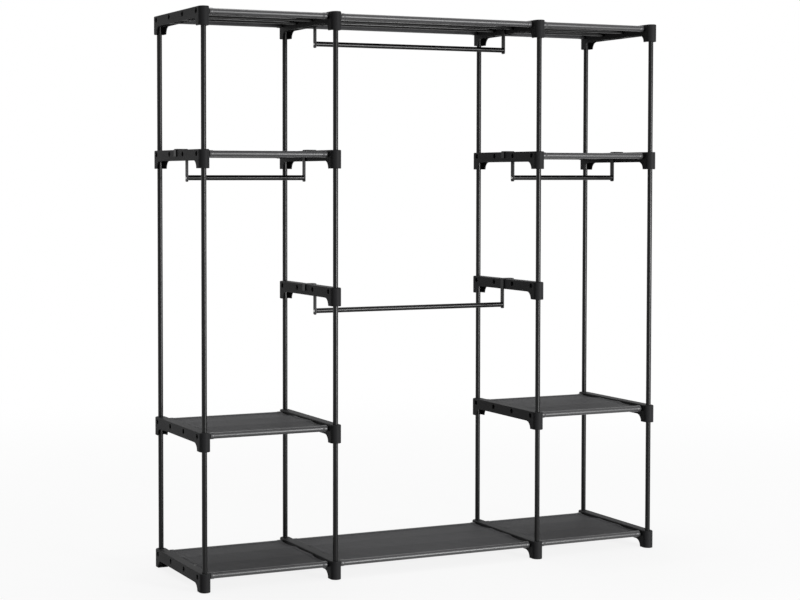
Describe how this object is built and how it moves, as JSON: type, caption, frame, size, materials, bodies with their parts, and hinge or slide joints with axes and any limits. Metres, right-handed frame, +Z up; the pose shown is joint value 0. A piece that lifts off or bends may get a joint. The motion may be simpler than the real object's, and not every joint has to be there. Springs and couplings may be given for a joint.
{
  "type": "open frame wardrobe",
  "caption": "Free-standing open wardrobe frame: tube posts in moulded connectors, cloth shelves on rods, and hanging rails on strap hooks.",
  "frame": {"origin": "middle of the footprint, on the floor", "axes": "+X to the right seen from the front, +Y from front to back, +Z up"},
  "size_m": [1.6186, 0.426, 1.743],
  "materials": {
    "tube_coat": "satin black powder coat on steel tube",
    "moulding": "fine matt black moulded plastic",
    "cloth": "black non-woven cloth with a bonded dot pattern",
    "hook_coat": "satin black coat on bent steel strap",
    "zinc": "bright zinc plate"
  },
  "bodies": {
    "frame": {"left_outer_foot_connector": "moulding", "left_outer_lower_connector": "moulding", "left_outer_upper_connector": "moulding", "left_outer_top_connector": "moulding", "left_inner_foot_connector": "moulding", "left_inner_lower_connector": "moulding", "left_inner_middle_connector": "moulding", "left_inner_upper_connector": "moulding", "left_inner_top_connector": "moulding", "right_inner_foot_connector": "moulding", "right_inner_lower_connector": "moulding", "right_inner_middle_connector": "moulding", "right_inner_upper_connector": "moulding", "right_inner_top_connector": "moulding", "right_outer_foot_connector": "moulding", "right_outer_lower_connector": "moulding", "right_outer_upper_connector": "moulding", "right_outer_top_connector": "moulding", "left_outer_front_post": "tube_coat", "left_outer_back_post": "tube_coat", "left_inner_front_post": "tube_coat", "left_inner_back_post": "tube_coat", "right_inner_front_post": "tube_coat", "right_inner_back_post": "tube_coat", "right_outer_front_post": "tube_coat", "right_outer_back_post": "tube_coat", "left_foot_shelf_rods": "tube_coat", "left_lower_shelf_rods": "tube_coat", "left_upper_shelf_rods": "tube_coat", "left_top_shelf_rods": "tube_coat", "centre_foot_shelf_rods": "tube_coat", "centre_top_shelf_rods": "tube_coat", "right_foot_shelf_rods": "tube_coat", "right_lower_shelf_rods": "tube_coat", "right_upper_shelf_rods": "tube_coat", "right_top_shelf_rods": "tube_coat", "left_foot_shelf_cloth": "cloth", "left_lower_shelf_cloth": "cloth", "left_upper_shelf_cloth": "cloth", "left_top_shelf_cloth": "cloth", "centre_foot_shelf_cloth": "cloth", "centre_top_shelf_cloth": "cloth", "right_foot_shelf_cloth": "cloth", "right_lower_shelf_cloth": "cloth", "right_upper_shelf_cloth": "cloth", "right_top_shelf_cloth": "cloth"},
    "left_rail": {"left_rail_hooks": "hook_coat"},
    "left_bar": {"left_rail_tube": "tube_coat", "left_rail_screws": "zinc"},
    "right_rail": {"right_rail_hooks": "hook_coat"},
    "right_bar": {"right_rail_tube": "tube_coat", "right_rail_screws": "zinc"},
    "centre_top_rail": {"centre_top_rail_hooks": "hook_coat"},
    "centre_top_bar": {"centre_top_rail_tube": "tube_coat", "centre_top_rail_screws": "zinc"},
    "centre_middle_rail": {"centre_middle_rail_hooks": "hook_coat"},
    "centre_middle_bar": {"centre_middle_rail_tube": "tube_coat", "centre_middle_rail_screws": "zinc"}
  },
  "joints": [
    {"name": "left_rail_slide", "type": "slide", "parent": "frame", "child": "left_rail", "axis": [0, 1, 0], "range_m": [-0.038, 0.038]},
    {"name": "left_bar_turn", "type": "hinge", "parent": "left_rail", "child": "left_bar", "pos_m": [-0.5745, 0, 1.23425], "axis": [1, 0, 0], "continuous": true},
    {"name": "right_rail_slide", "type": "slide", "parent": "frame", "child": "right_rail", "axis": [0, 1, 0], "range_m": [-0.038, 0.038]},
    {"name": "right_bar_turn", "type": "hinge", "parent": "right_rail", "child": "right_bar", "pos_m": [0.5745, 0, 1.23425], "axis": [1, 0, 0], "continuous": true},
    {"name": "centre_top_rail_slide", "type": "slide", "parent": "frame", "child": "centre_top_rail", "axis": [0, 1, 0], "range_m": [-0.038, 0.038]},
    {"name": "centre_top_bar_turn", "type": "hinge", "parent": "centre_top_rail", "child": "centre_top_bar", "pos_m": [0, 0, 1.655], "axis": [1, 0, 0], "continuous": true},
    {"name": "centre_middle_rail_slide", "type": "slide", "parent": "frame", "child": "centre_middle_rail", "axis": [0, 1, 0], "range_m": [-0.175, 0.175]},
    {"name": "centre_middle_bar_turn", "type": "hinge", "parent": "centre_middle_rail", "child": "centre_middle_bar", "pos_m": [0, 0, 0.8135], "axis": [1, 0, 0], "continuous": true}
  ]
}
